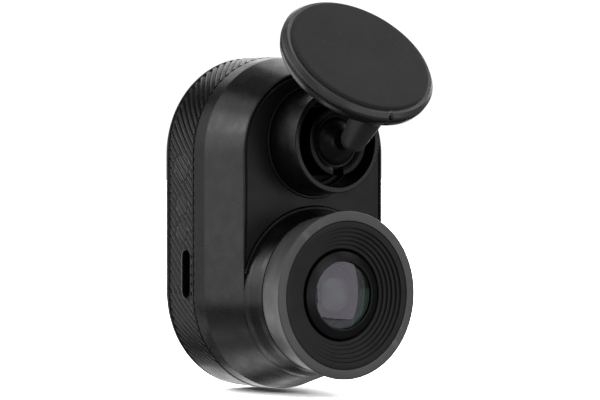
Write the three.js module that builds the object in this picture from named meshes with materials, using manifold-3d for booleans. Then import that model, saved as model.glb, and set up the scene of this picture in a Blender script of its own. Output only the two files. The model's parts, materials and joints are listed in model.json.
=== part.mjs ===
// Dash camera: stadium-shaped housing, lens head, ball-joint socket and round adhesive mount.
// Millimetres, +Z up, lens towards -Y. The origin is the centre of the adhesive pad's outer face.
// The body frame used below has z = 0 at the housing's lowest point and y = 0 at the rear edge of the
// ribbed side band; everything is moved to the pad origin at the end.
import * as THREE from "three";
import { mergeVertices } from "three/addons/utils/BufferGeometryUtils.js";
import Module from "manifold-3d";

const wasm = await Module();
wasm.setup();

// ---------------------------------------------------------------- driving dimensions
const ROUND = 48;                     // segments of a large circle
const SMALL = 16;                     // segments of a small circle

const BODY = { r: 15.65, low: 15.65, high: 37.35 };
const Y_BACK = 1.9;                   // rear face of the housing
const Y_SEAM = -7.53;                 // rear shell meets front shell
const Y_CREASE = -10.35;              // side wall starts to taper
const Y_FRONT = -18.15;               // front face of the fascia
const R_CREASE = 15.46;
const R_FRONT = 13.27;
const WALL = 1.2;
const SEAM_GAP = 0.15;

const LENS_Z = 15.65;                 // height of the optical axis
const Y_NECK = -21.48;                // joint line between neck and lens head
const R_NECK = 12.15;
const Y_HEAD = -27.06;                // front of the lens head ring
const R_HEAD = 12.9;
const R_HEAD_INNER = 11.53;
const BAFFLE_RADII = [10.67, 9.99, 9.28, 8.6, 7.83];
const BAFFLE_STEP = 0.2;
const R_BAFFLE_HOLE = 7.2;
const R_GLASS = 5.5;

const SOCKET_Z = 39.45;               // height of the mount socket's axis
const Y_TOWER = -24.52;               // front lip of the socket tower
const R_TOWER_BASE = 8.48;
const R_TOWER_LIP = 8.06;
const R_TOWER_BORE = 7.21;
const Y_COLLET = -24.66;
const R_COLLET = 5.39;
const COLLET_SLIT = 2.0;

const BALL = new THREE.Vector3(0, -22, SOCKET_Z);
const R_BALL = 4.2;
const R_NECK_ROD = 2.05;
const ELBOW = new THREE.Vector3(0, -29.1, 39.8);
const R_ELBOW = 2.07;
const R_BOSS = 2.8;
const MOUNT_YAW = THREE.MathUtils.degToRad(-1.79);
const DISC_TILT = THREE.MathUtils.degToRad(43.8);
const DISC_CENTRE = new THREE.Vector3(0, -30.46, 52.23);
const R_DISC = 12.25;
const DISC_THICK = 2.19;
const R_PAD = 11.37;
const PAD_PROUD = 0.5;

const PORT = { y: -5.4, z: 18.6, tall: 7.3, wide: 1.8 };
const CARD = { y: -5.05, z: 27, long: 15, tall: 11, thick: 0.75 };
const BOARD = { r: 12.9, front: -4.0, rear: -3.0 };
const BUTTON = { z: 14, r: 4.5, travel: 0.3 };
const BOSSES = [[-11.2, 31.5], [11.2, 36], [-6, 47.5], [6, 47.5]];

// ---------------------------------------------------------------- materials
const paint = (color, roughness, metalness = 0) =>
  new THREE.MeshStandardMaterial({ color, roughness, metalness });
const MATERIAL = {
  shell: () => paint(0x1c1d1f, 0.55),
  gloss: () => paint(0x101113, 0.25),
  matt: () => paint(0x17181a, 0.8),
  pad: () => paint(0x3a3b3e, 0.9),
  glass: () => paint(0x2a2440, 0.05),
  steel: () => paint(0xb8babd, 0.3, 1),
  board: () => paint(0x12402a, 0.6),
  chip: () => paint(0x15161a, 0.5),
  flex: () => paint(0x8a5a20, 0.5),
  rubber: () => paint(0x6f7478, 0.9),
  nylon: () => paint(0xd8d6cc, 0.6),
  clear: () => paint(0xe8eef2, 0.2),
};

// ---------------------------------------------------------------- helpers
const { Manifold, Mesh } = wasm;

function toSolid(geometry) {
  const g = geometry.clone();
  g.deleteAttribute("normal");
  g.deleteAttribute("uv");
  const merged = mergeVertices(g, 1e-4);
  const ids = merged.index.array;
  const tris = [];
  for (let i = 0; i < ids.length; i += 3) {
    const [a, b, c] = [ids[i], ids[i + 1], ids[i + 2]];
    if (a !== b && b !== c && a !== c) {
      tris.push(a, b, c);
    }
  }
  const mesh = new Mesh({
    numProp: 3,
    vertProperties: Float32Array.from(merged.attributes.position.array),
    triVerts: Uint32Array.from(tris),
  });
  return new Manifold(mesh);
}

function toMesh(name, solid, material) {
  const out = solid.getMesh();
  const g = new THREE.BufferGeometry();
  g.setAttribute("position", new THREE.BufferAttribute(out.vertProperties, 3));
  g.setIndex(new THREE.BufferAttribute(out.triVerts, 1));
  g.computeVertexNormals();
  const mesh = new THREE.Mesh(g, MATERIAL[material]());
  mesh.name = name;
  return mesh;
}

// Revolve a closed [radius, y] profile about a Y axis through (x, z).
function turned(profile, { x = 0, z = 0, segments = ROUND } = {}) {
  let area = 0;
  profile.forEach(([r0, y0], i) => {
    const [r1, y1] = profile[(i + 1) % profile.length];
    area += r0 * y1 - r1 * y0;
  });
  const ordered = area > 0 ? profile : [...profile].reverse();
  const onAxis = ordered.filter(([r]) => r < 1e-6).length > 1;
  let points = ordered.map(([r, y]) => new THREE.Vector2(r, y));
  if (onAxis) {
    const n = points.length;
    const start = points.findIndex((p, i) => p.x < 1e-6 && points[(i + n - 1) % n].x < 1e-6);
    points = [...points.slice(start), ...points.slice(0, start)];
  } else {
    points.push(points[0].clone());
  }
  const g = new THREE.LatheGeometry(points, segments);
  g.translate(x, 0, z);
  return toSolid(g);
}

// A plain cylinder along Y.
function rod(r, y0, y1, { x = 0, z = 0, segments = SMALL } = {}) {
  return turned([[0, y0], [r, y0], [r, y1], [0, y1]], { x, z, segments });
}

function block(x0, x1, y0, y1, z0, z1) {
  const g = new THREE.BoxGeometry(x1 - x0, y1 - y0, z1 - z0);
  g.translate((x0 + x1) / 2, (y0 + y1) / 2, (z0 + z1) / 2);
  return toSolid(g);
}

// Stadium outline points at one depth: two half circles of radius r joined by straight sides.
function stadiumRing({ y, r, low = BODY.low, high = BODY.high }, half) {
  const ring = [];
  for (let i = 0; i <= half; i += 1) {
    const a = Math.PI + (Math.PI * i) / half;
    ring.push([r * Math.cos(a), y, low + r * Math.sin(a)]);
  }
  for (let i = 0; i <= half; i += 1) {
    const a = (Math.PI * i) / half;
    ring.push([r * Math.cos(a), y, high + r * Math.sin(a)]);
  }
  return ring;
}

// Solid through stadium sections listed from the rear (high y) to the front (low y).
function stadiumLoft(sections, half = 20) {
  const rings = sections.map((s) => stadiumRing(s, half));
  const n = rings[0].length;
  const position = rings.flat(2);
  const index = [];
  for (let k = 0; k + 1 < rings.length; k += 1) {
    for (let i = 0; i < n; i += 1) {
      const j = (i + 1) % n;
      const [a, b] = [k * n + i, k * n + j];
      const [c, d] = [(k + 1) * n + i, (k + 1) * n + j];
      index.push(a, c, b, b, c, d);
    }
  }
  const last = (rings.length - 1) * n;
  for (let i = 1; i + 1 < n; i += 1) {
    index.push(0, i, i + 1);
    index.push(last, last + i + 1, last + i);
  }
  const g = new THREE.BufferGeometry();
  g.setAttribute("position", new THREE.Float32BufferAttribute(position, 3));
  g.setIndex(index);
  let solid = toSolid(g);
  if (solid.volume() < 0) {
    g.setIndex(index.map((_, i) => index[i - (i % 3) + (2 - (i % 3))]));
    solid = toSolid(g);
  }
  return solid;
}

// Round-ended slot along Z, cut in the X direction.
function sideSlot(x0, x1, y, z, tall, wide) {
  const r = wide / 2;
  const reach = tall / 2 - r;
  const shape = new THREE.Shape();
  shape.absarc(0, reach, r, 0, Math.PI, false);
  shape.absarc(0, -reach, r, Math.PI, 2 * Math.PI, false);
  const g = new THREE.ExtrudeGeometry(shape, { depth: x1 - x0, bevelEnabled: false, curveSegments: 12 });
  g.rotateX(Math.PI / 2);
  g.rotateZ(Math.PI / 2);
  g.translate(x0, y, z);
  return toSolid(g);
}

function placed(solid, position, quaternion) {
  const m = new THREE.Matrix4().compose(position, quaternion, new THREE.Vector3(1, 1, 1));
  return solid.transform(m.elements);
}

const UP = new THREE.Vector3(0, 1, 0);

// Turned cone or cylinder from point a to point b.
function strut(a, b, ra, rb, segments = 24) {
  const along = new THREE.Vector3().subVectors(b, a);
  const q = new THREE.Quaternion().setFromUnitVectors(UP, along.clone().normalize());
  const piece = turned([[0, 0], [ra, 0], [rb, along.length()], [0, along.length()]], { segments });
  return placed(piece, a, q);
}

// Arc points of a sphere's side, as a [radius, y] profile, from y0 to y1.
function arcProfile(r, centreY, y0, y1, steps) {
  const a0 = Math.acos((y0 - centreY) / r);
  const a1 = Math.acos((y1 - centreY) / r);
  const points = [];
  for (let i = 0; i <= steps; i += 1) {
    const a = a0 + ((a1 - a0) * i) / steps;
    points.push([r * Math.sin(a), centreY + r * Math.cos(a)]);
  }
  return points;
}

function ball(centre, r, width = 28, height = 16) {
  const g = new THREE.SphereGeometry(r, width, height);
  g.translate(centre.x, centre.y, centre.z);
  return toSolid(g);
}

const part = new THREE.Group();
part.name = "dash_camera";
const inner = new THREE.Group();
part.add(inner);
const add = (name, solid, material) => inner.add(toMesh(name, solid, material));

// ---------------------------------------------------------------- front shell
const taper = (y) => R_CREASE + ((y - Y_CREASE) / (Y_FRONT - Y_CREASE)) * (R_FRONT - R_CREASE);
const deckRear = -15.45;
const deckFront = -16.75;
const tongueEnd = -5.9;

let frontShell = stadiumLoft([
  { y: Y_SEAM - SEAM_GAP / 2, r: 15.6 },
  { y: Y_CREASE, r: R_CREASE },
  { y: Y_FRONT, r: R_FRONT },
]);
frontShell = frontShell.add(stadiumLoft([
  { y: tongueEnd, r: 14.25 },
  { y: Y_CREASE, r: 14.25 },
]));
frontShell = frontShell.subtract(stadiumLoft([
  { y: tongueEnd + 1, r: 13.3 },
  { y: -11.5, r: 13.5 },
  { y: deckRear, r: 12.6 },
]));
frontShell = frontShell.subtract(stadiumLoft([
  { y: deckFront, r: R_FRONT - 0.3 },
  { y: Y_FRONT - 1, r: R_FRONT - 0.3 },
]));
const neckTube = turned([
  [10.5, deckRear], [R_FRONT - 0.05, deckRear], [R_FRONT, Y_FRONT], [12.8, -19.3], [12.4, -20.4],
  [12.17, Y_NECK + 0.07], [11.4, Y_NECK + 0.07], [11.4, -23.3], [10.5, -23.3],
], { z: LENS_Z });
frontShell = frontShell.add(neckTube);
frontShell = frontShell.subtract(rod(10.5, -23.8, deckRear + 1, { z: LENS_Z, segments: ROUND }));
const tower = turned([
  [0, deckRear], [R_TOWER_BASE + 0.07, deckRear], [R_TOWER_BASE, Y_FRONT],
  [R_TOWER_LIP + 0.04, Y_TOWER + 0.25], [R_TOWER_LIP - 0.12, Y_TOWER],
  [R_TOWER_BORE, Y_TOWER], [R_TOWER_BORE, deckFront], [0, deckFront],
], { z: SOCKET_Z });
frontShell = frontShell.add(tower);
frontShell = frontShell.subtract(rod(R_TOWER_BORE, deckFront, Y_FRONT - 2, { z: SOCKET_Z, segments: ROUND }));
for (const [x, z] of BOSSES) {
  frontShell = frontShell.add(rod(1.6, deckRear - 0.4, BOARD.front - 0.15, { x, z }));
  frontShell = frontShell.subtract(rod(0.8, -10.5, BOARD.front + 0.5, { x, z }));
}
frontShell = frontShell.subtract(block(-15, -12.6, -6.9, -3, PORT.z - 4.6, PORT.z + 4.6));
frontShell = frontShell.subtract(block(12.6, 15, -6.4, -3, CARD.z - 6.6, CARD.z + 6.6));
add("front_shell", frontShell, "shell");

// ---------------------------------------------------------------- front fascia
let fascia = stadiumLoft([
  { y: deckFront - 0.1, r: R_FRONT - 0.55 },
  { y: Y_FRONT + 0.25, r: R_FRONT - 0.55 },
  { y: Y_FRONT, r: R_FRONT - 0.75 },
]);
fascia = fascia.subtract(turned([
  [0, deckFront + 1], [R_FRONT + 0.28, deckFront + 1], [R_FRONT + 0.28, Y_FRONT + 0.25],
  [R_FRONT + 0.55, Y_FRONT], [R_FRONT + 0.55, Y_FRONT - 1], [0, Y_FRONT - 1],
], { z: LENS_Z }));
fascia = fascia.subtract(turned([
  [0, deckFront + 1], [R_TOWER_BASE + 0.3, deckFront + 1], [R_TOWER_BASE + 0.3, Y_FRONT + 0.25],
  [R_TOWER_BASE + 0.55, Y_FRONT], [R_TOWER_BASE + 0.55, Y_FRONT - 1], [0, Y_FRONT - 1],
], { z: SOCKET_Z }));
add("front_fascia", fascia, "shell");

// ---------------------------------------------------------------- rear shell
let rearShell = stadiumLoft([
  { y: Y_BACK, r: 12.2 },
  { y: Y_BACK - 0.25, r: 13.6 },
  { y: Y_BACK - 0.8, r: 14.75 },
  { y: Y_BACK - 1.5, r: 15.4 },
  { y: -0.35, r: BODY.r },
  { y: Y_SEAM + SEAM_GAP / 2, r: BODY.r },
]);
rearShell = rearShell.subtract(stadiumLoft([
  { y: Y_BACK - WALL, r: 12.6 },
  { y: -0.4, r: BODY.r - WALL },
  { y: Y_SEAM - 1, r: BODY.r - WALL },
]));
rearShell = rearShell.subtract(sideSlot(-17, -13, PORT.y, PORT.z, PORT.tall, PORT.wide));
rearShell = rearShell.subtract(sideSlot(13, 17, CARD.y, CARD.z, CARD.tall + 0.7, CARD.thick + 0.7));
rearShell = rearShell.subtract(rod(BUTTON.r + 0.2, 0, 3, { z: BUTTON.z, segments: 48 }));
const pipes = [[-3, 25], [3, 25]];
for (const [x, z] of pipes) {
  rearShell = rearShell.subtract(rod(0.95, 0, 3, { x, z }));
}
rearShell = rearShell.subtract(rod(0.5, 0, 3, { z: 33, segments: 16 }));
add("rear_shell", rearShell, "shell");

// ---------------------------------------------------------------- lens head
add("lens_head_ring", turned([
  [R_HEAD_INNER, Y_NECK - 0.1], [R_NECK, Y_NECK - 0.1], [R_NECK + 0.16, -22.9], [12.48, -24.6],
  [R_HEAD - 0.14, -26.4], [R_HEAD, Y_HEAD + 0.12], [R_HEAD - 0.12, Y_HEAD],
  [R_HEAD_INNER, Y_HEAD],
], { z: LENS_Z, segments: 64 }), "shell");

const baffleSteps = [[R_HEAD_INNER - 0.13, Y_HEAD + 0.06]];
BAFFLE_RADII.forEach((r, i) => {
  const depth = Y_HEAD + 0.06 + BAFFLE_STEP * i;
  baffleSteps.push([r, depth], [r, depth + BAFFLE_STEP]);
});
const baffleFloor = Y_HEAD + 0.06 + BAFFLE_STEP * BAFFLE_RADII.length;
add("lens_baffle", turned([
  ...baffleSteps, [R_BAFFLE_HOLE, baffleFloor], [R_BAFFLE_HOLE, Y_HEAD + 2.15],
  [R_HEAD_INNER - 0.13, Y_HEAD + 2.15],
], { z: LENS_Z }), "matt");

add("lens_retainer", turned([
  [6.9, Y_HEAD + 2.3], [R_GLASS + 0.15, Y_HEAD + 1.0], [R_GLASS - 0.25, Y_HEAD + 1.0],
  [R_GLASS - 0.25, Y_HEAD + 1.22], [R_GLASS + 0.12, Y_HEAD + 1.34], [R_GLASS + 0.12, Y_HEAD + 3.4],
  [6.3, Y_HEAD + 3.4], [6.3, Y_HEAD + 4.4], [6.9, Y_HEAD + 4.4],
], { z: LENS_Z }), "matt");

const glassFront = (r) => Y_HEAD + 0.35 + (r * r) / (R_GLASS * R_GLASS) * 0.78;
const glassProfile = [[0, glassFront(0)]];
for (const r of [1.2, 2.4, 3.4, 4.2, 4.8, 5.15]) {
  glassProfile.push([r, glassFront(r)]);
}
glassProfile.push([5.15, Y_HEAD + 1.3], [R_GLASS, Y_HEAD + 1.5], [R_GLASS, Y_HEAD + 2.6]);
glassProfile.push([3.6, Y_HEAD + 2.6], [2.6, Y_HEAD + 2.1], [1.4, Y_HEAD + 1.7], [0, Y_HEAD + 1.55]);
add("front_lens", turned(glassProfile, { z: LENS_Z, segments: 40 }), "glass");

add("lens_barrel", turned([
  [4.6, Y_HEAD + 2.75], [5.5, Y_HEAD + 2.75], [5.5, Y_HEAD + 3.55], [6.15, Y_HEAD + 3.55],
  [6.15, -11.4], [3.2, -11.4], [3.2, -15.2], [4.1, -15.2], [4.1, -20.0], [4.6, -20.0],
], { z: LENS_Z, segments: 48 }), "matt");
add("lens_element_middle", turned([
  [0, -22.2], [2.4, -21.9], [4.45, -21.1], [4.45, -20.15], [3.2, -20.4], [0, -20.8],
], { z: LENS_Z, segments: 32 }), "glass");
add("lens_element_rear", turned([
  [0, -17.4], [2.2, -17.1], [3.95, -16.3], [3.95, -15.35], [0, -15.35],
], { z: LENS_Z, segments: 32 }), "glass");

// ---------------------------------------------------------------- image sensor stack
let holder = turned([
  [6.3, -8.75], [7.6, -8.75], [7.6, -15.6], [10.35, -15.6], [10.35, -16.9], [7.6, -16.9],
  [7.6, -18.4], [6.3, -18.4],
], { z: LENS_Z, segments: 48 });
const holderBase = block(-8, 8, -10.6, -8.75, LENS_Z - 8, LENS_Z + 8)
  .subtract(rod(6.3, -12, -8, { z: LENS_Z, segments: 48 }));
holder = holder.add(holderBase);
add("lens_holder", holder, "matt");
add("ir_filter", block(-3.6, 3.6, -10.9, -10.5, LENS_Z - 3.2, LENS_Z + 3.2), "clear");
add("image_sensor", block(-4.2, 4.2, -9.7, -8.65, LENS_Z - 3.8, LENS_Z + 3.8), "chip");
add("sensor_board", block(-9.5, 9.5, -8.6, -7.8, LENS_Z - 8.6, LENS_Z + 8.6), "board");

const flexPath = new THREE.Shape();
flexPath.moveTo(-7.7, 6.6);
flexPath.lineTo(-7.5, 6.6);
flexPath.lineTo(-7.5, 3.9);
flexPath.lineTo(-4.3, 3.9);
flexPath.lineTo(-4.3, 8.6);
flexPath.lineTo(-4.1, 8.6);
flexPath.lineTo(-4.1, 3.7);
flexPath.lineTo(-7.7, 3.7);
const flexGeometry = new THREE.ExtrudeGeometry(flexPath, { depth: 6, bevelEnabled: false });
flexGeometry.rotateY(Math.PI / 2);
flexGeometry.rotateX(Math.PI / 2);
flexGeometry.translate(-3, 0, 0);
let flex = toSolid(flexGeometry);
const flexBox = flex.boundingBox();
flex = flex.translate([-3 - flexBox.min[0], -7.7 - flexBox.min[1], 3.7 - flexBox.min[2]]);
add("sensor_flex", flex, "flex");

// ---------------------------------------------------------------- main board and its parts
let board = stadiumLoft([
  { y: BOARD.rear, r: BOARD.r },
  { y: BOARD.front, r: BOARD.r },
]);
for (const [x, z] of BOSSES) {
  board = board.subtract(rod(1.0, -6, -1, { x, z }));
}
add("main_board", board, "board");
BOSSES.forEach(([x, z], i) => {
  const screw = turned([
    [0, -9.5], [0.7, -9.5], [0.7, BOARD.rear + 0.05], [1.5, BOARD.rear + 0.05], [1.5, BOARD.rear + 0.75],
    [1.2, BOARD.rear + 0.95], [0, BOARD.rear + 0.95],
  ], { x, z, segments: SMALL });
  const slot = block(x - 0.9, x + 0.9, BOARD.rear + 0.5, BOARD.rear + 2, z - 0.2, z + 0.2);
  const cross = block(x - 0.2, x + 0.2, BOARD.rear + 0.5, BOARD.rear + 2, z - 0.9, z + 0.9);
  add(`board_screw_${i + 1}`, screw.subtract(slot).subtract(cross), "steel");
});
const seat = BOARD.front - 0.08;
add("processor", block(-9.8, -1.6, seat - 1.1, seat, 33.6, 41.8), "chip");
add("memory_chip", block(2, 9.6, seat - 0.9, seat, 37.5, 44.5), "chip");
add("thermal_pad", block(-9.2, -2.2, seat - 2.0, seat - 1.2, 34.2, 41.2), "rubber");
add("heat_spreader", block(-10.4, 9.2, seat - 2.6, seat - 2.1, 34.5, 44.5), "steel");
const cellGeometry = new THREE.CylinderGeometry(3.2, 3.2, 15, 32);
cellGeometry.rotateZ(Math.PI / 2);
cellGeometry.translate(0, -11.3, 30.6);
add("supercapacitor", toSolid(cellGeometry), "chip");
const arc = new THREE.Shape();
arc.absarc(0, 0, 12.4, Math.PI * 0.41, Math.PI * 0.59, false);
arc.absarc(0, 0, 12.0, Math.PI * 0.59, Math.PI * 0.41, true);
const arcGeometry = new THREE.ExtrudeGeometry(arc, { depth: 5, bevelEnabled: false, curveSegments: 12 });
arcGeometry.rotateX(Math.PI / 2);
arcGeometry.translate(0, -8.5, BODY.high);
add("antenna_strip", toSolid(arcGeometry), "steel");

// Power port on the left side, memory card and its socket on the right side.
let usb = block(-14.3, -9, -6.75, seat, PORT.z - 3.95, PORT.z + 3.95);
usb = usb.subtract(block(-15, -9.6, PORT.y - 0.95, PORT.y + 0.95, PORT.z - 3.45, PORT.z + 3.45));
usb = usb.add(block(-13.4, -9.2, PORT.y - 0.25, PORT.y + 0.25, PORT.z - 2.5, PORT.z + 2.5));
add("power_port", usb, "steel");
let cardSocket = block(-1.6, 12.5, -6.0, seat, CARD.z - 6.9, CARD.z + 6.9);
cardSocket = cardSocket.subtract(block(-0.9, 14, CARD.y - 0.55, CARD.y + 0.55, CARD.z - 5.8, CARD.z + 5.8));
cardSocket = cardSocket.subtract(block(2.5, 9.5, -7, CARD.y, CARD.z - 3.4, CARD.z + 3.4));
add("card_socket", cardSocket, "steel");
const cardEnd = BODY.r - 0.35;
let card = block(cardEnd - CARD.long, cardEnd, CARD.y - CARD.thick / 2, CARD.y + CARD.thick / 2,
  CARD.z - CARD.tall / 2, CARD.z + CARD.tall / 2);
card = card.subtract(block(cardEnd - 12, cardEnd - 9.5, CARD.y - 1, CARD.y + 1,
  CARD.z + CARD.tall / 2 - 0.7, CARD.z + CARD.tall));
card = card.subtract(block(cardEnd - 0.9, cardEnd - 0.45, CARD.y - 1, CARD.y - 0.2,
  CARD.z - 4.5, CARD.z + 4.5));
add("memory_card", card, "chip");

// ---------------------------------------------------------------- button, switch, indicators
add("button_cap", turned([
  [0, -1.1], [1.2, -1.1], [1.2, -0.2], [5.2, -0.2], [5.2, 0.45], [BUTTON.r, 0.45],
  [BUTTON.r, Y_BACK], [BUTTON.r - 0.35, Y_BACK + 0.25], [BUTTON.r - 1.4, Y_BACK + 0.12], [0, Y_BACK - 0.15],
], { z: BUTTON.z, segments: 48 }), "gloss");
const switchTop = -1.55;
const tact = block(-2.2, 2.2, BOARD.rear + 0.08, switchTop, BUTTON.z - 2.2, BUTTON.z + 2.2)
  .subtract(rod(1.0, -2.55, 0, { z: BUTTON.z }));
add("tact_switch", tact, "steel");
add("switch_plunger", rod(0.85, -2.15, -1.16, { z: BUTTON.z }), "nylon");
pipes.forEach(([x, z], i) => {
  add(`light_pipe_${i + 1}`, rod(0.8, -2.0, Y_BACK - 0.05, { x, z }), "clear");
  add(`status_led_${i + 1}`, block(x - 0.8, x + 0.8, BOARD.rear + 0.05, -2.2, z - 0.4, z + 0.4), "nylon");
});
add("microphone", block(-1.9, 1.9, BOARD.rear + 0.05, -1.95, 31.5, 34.5), "steel");

// ---------------------------------------------------------------- ball joint
add("socket_ring", turned([
  [6.3, -17.85], [R_TOWER_BORE - 0.12, -17.85], [R_TOWER_BORE - 0.12, -18.9], [6.55, -18.9],
  [6.3, -18.65],
], { z: SOCKET_Z }), "matt");

const rSocket = 4.66;
const mouth = BALL.y - 2.35;
let collet = turned([
  [0, deckFront - 0.1], [6.9, deckFront - 0.1], [6.9, -17.75], [R_COLLET, -17.75],
  [R_COLLET, Y_COLLET + 0.15], [R_COLLET - 0.12, Y_COLLET], [4.65, Y_COLLET],
  ...arcProfile(rSocket, BALL.y, mouth, BALL.y + 4.4, 8), [0, BALL.y + 4.4],
], { z: SOCKET_Z, segments: 40 });
collet = collet.subtract(block(-COLLET_SLIT / 2, COLLET_SLIT / 2, -26, -18.6, SOCKET_Z - 8, SOCKET_Z - 2.5));
add("socket_collet", collet, "matt");

const linerFront = BALL.y - 2.15;
const linerRear = BALL.y + 2.8;
const liner = turned([
  ...arcProfile(rSocket - 0.08, BALL.y, linerFront, linerRear, 7),
  ...arcProfile(R_BALL + 0.08, BALL.y, linerRear, linerFront, 7),
], { z: SOCKET_Z, segments: 40 });
add("ball_liner", liner, "nylon");

// ---------------------------------------------------------------- adhesive mount
const normal = new THREE.Vector3(0, -Math.cos(DISC_TILT), Math.sin(DISC_TILT));
const discTurn = new THREE.Quaternion().setFromUnitVectors(UP, normal);
const yaw = new THREE.Quaternion().setFromAxisAngle(new THREE.Vector3(0, 0, 1), MOUNT_YAW);
const turnMount = (solid) => placed(placed(solid, BALL.clone().negate(), new THREE.Quaternion()), BALL, yaw);
const onDisc = (solid) => turnMount(placed(solid, DISC_CENTRE, discTurn));

const backPlane = DISC_CENTRE.clone().addScaledVector(normal, -DISC_THICK);
const bossLength = backPlane.clone().sub(ELBOW).dot(normal);
const bossFoot = ELBOW.clone().addScaledVector(normal, bossLength + 0.3);
let arm = ball(BALL, R_BALL);
arm = arm.add(strut(BALL, ELBOW, R_NECK_ROD, R_NECK_ROD));
arm = arm.add(ball(ELBOW, R_ELBOW, 24, 12));
arm = arm.add(strut(ELBOW, bossFoot, R_ELBOW, R_BOSS));
arm = turnMount(arm);
const dish = onDisc(turned([
  [0, -DISC_THICK], [R_DISC - 0.35, -DISC_THICK], [R_DISC - 0.05, -DISC_THICK + 0.3],
  [R_DISC - 0.05, -1.2], [0, -1.2],
], { segments: 64 }));
const notch = onDisc(block(-0.5, 0.5, -3, 0.1, R_DISC - 0.7, R_DISC + 1));
add("ball_arm", arm.add(dish).subtract(notch), "shell");
add("mount_plate", onDisc(turned([
  [0, -1.1], [R_DISC, -1.1], [R_DISC, -0.55], [R_DISC - 0.5, -0.02], [0, -0.02],
], { segments: 64 })), "shell");
add("adhesive_pad", onDisc(turned([
  [0, 0.04], [R_PAD, 0.04], [R_PAD, PAD_PROUD], [0, PAD_PROUD],
], { segments: 64 })), "pad");

// ---------------------------------------------------------------- origin at the pad's outer face
const origin = DISC_CENTRE.clone().addScaledVector(normal, PAD_PROUD).sub(BALL).applyQuaternion(yaw).add(BALL);
inner.position.copy(origin).negate();
part.updateMatrixWorld(true);

export default part;
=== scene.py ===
import json
import math

import bmesh
import bpy
import numpy as np
from mathutils import Matrix, Vector

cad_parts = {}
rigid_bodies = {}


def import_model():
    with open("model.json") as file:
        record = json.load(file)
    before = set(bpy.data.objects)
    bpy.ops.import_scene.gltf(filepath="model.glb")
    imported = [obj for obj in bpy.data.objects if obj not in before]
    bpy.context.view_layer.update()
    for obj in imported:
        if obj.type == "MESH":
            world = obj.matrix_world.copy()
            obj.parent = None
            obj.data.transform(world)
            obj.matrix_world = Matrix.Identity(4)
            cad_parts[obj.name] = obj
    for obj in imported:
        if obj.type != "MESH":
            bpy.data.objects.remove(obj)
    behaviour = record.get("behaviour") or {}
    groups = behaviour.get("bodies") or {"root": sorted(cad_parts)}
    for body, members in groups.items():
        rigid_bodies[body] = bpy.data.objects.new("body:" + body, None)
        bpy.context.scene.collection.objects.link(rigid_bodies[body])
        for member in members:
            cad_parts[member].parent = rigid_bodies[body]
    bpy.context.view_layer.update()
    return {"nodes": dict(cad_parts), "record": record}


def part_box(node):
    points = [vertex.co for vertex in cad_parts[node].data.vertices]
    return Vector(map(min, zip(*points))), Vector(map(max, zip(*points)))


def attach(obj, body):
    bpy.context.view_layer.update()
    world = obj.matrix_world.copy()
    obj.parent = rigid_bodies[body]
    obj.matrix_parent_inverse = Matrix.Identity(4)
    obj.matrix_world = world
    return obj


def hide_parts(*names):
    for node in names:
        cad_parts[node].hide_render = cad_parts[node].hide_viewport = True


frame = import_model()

MM = 0.001
TAU = 2 * math.pi
record = frame["record"]

# ------------------------------------------------------------------ frames of reference
# Housing frame, in mm: x = 0 on the plane of symmetry, y = 0 at the rear edge of the side band,
# z = 0 at the housing's lowest point, lens towards -y. SEAM is the y of the rear shell's front edge.
REAR_LOW, REAR_HIGH = (Vector(v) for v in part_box("rear_shell"))
SEAM = -7.455
ORIGIN = Vector(((REAR_LOW.x + REAR_HIGH.x) / 2, REAR_LOW.y - SEAM * MM, REAR_LOW.z))
HOUSING = Matrix.Translation(ORIGIN) @ Matrix.Scale(MM, 4)

# Disc frame, in mm: y along the adhesive face's outward normal, z towards the foot of the disc.
NORMAL = Vector(record["mounts"][0]["axis"]).normalized()
SIDE = Vector((-NORMAL.y, NORMAL.x, 0)).normalized()
DOWN = SIDE.cross(NORMAL)
DISC = Matrix((SIDE, NORMAL, DOWN)).transposed().to_4x4() @ Matrix.Scale(MM, 4)
# The pad stands PAD_PROUD out of the mount plate, and its face lies DISC_SHIFT beyond the CAD's.
PAD_PROUD = 0.5
DISC_SHIFT = 0.25

BALL = Vector(record["behaviour"]["joints"][0]["pos_m"])

# ------------------------------------------------------------------ sizes, in mm
# R is a radius, Y a depth along the lens axis and Z a height. LOW and HIGH are the heights of the
# centres of the housing outline's two half circles.
R_BODY, LOW, HIGH = 15.65, 15.65, 37.35
R_INSIDE = 14.45
Y_BACK = 1.9
Y_CREASE, R_CREASE = -10.35, 15.46
Y_FRONT, R_FRONT = -18.15, 13.27
Y_DECK = -16.75
LENS_Z, SOCKET_Z = 15.65, 39.45
Y_NECK, R_NECK = -21.48, 12.15
LIP_PROUD = 0.26
R_WELL, WELL_DEPTH = 7.24, 3.1
Y_HEAD, R_HEAD, R_HEAD_IN = -27.06, 13.08, 11.53
Y_TOWER, R_TOWER_BASE, R_TOWER_LIP, R_BORE = -24.52, 8.48, 8.06, 7.21
Y_COLLET, R_COLLET, R_COLLET_IN = -24.66, 5.39, 4.66
R_BALL, R_LINER_IN, R_LINER_OUT = 4.2, 4.29, 4.56
R_POST, R_STEM = 2.07, 1.75
R_DISC, DISC_THICK, R_PAD = 12.62, 2.75, 11.5
BUTTON_Z, R_BUTTON, R_BUTTON_HOLE = 14.0, 4.5, 4.72
PIPE_X, PIPE_Z, R_PIPE_HOLE = 3, 25, 0.95
MIC_Z, R_MIC_HOLE = 33, 0.45


# ------------------------------------------------------------------ camera, world, floor, lights
# Lengths are in mm. The camera looks past TARGET, VIEW_RIGHT and VIEW_UP to the side of it.
TARGET = Vector((0, -8, 26.5))
VIEW_AZ, VIEW_EL = math.radians(-35.33), math.radians(0.96)
VIEW_RIGHT, VIEW_UP, VIEW_DIST = 3.688, 3.621, 437.0
LENS_LENGTH, SENSOR_WIDTH = 163.98, 36
LAMP_DIST, SOFTBOX_SIZE = 420, 165
SKY_SEEN, SKY_FILL = 1.05, 0.079
FLOOR_DROP = 0.35
WASH_STRENGTH, WASH_ANGLE = 16.5, 150


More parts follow.
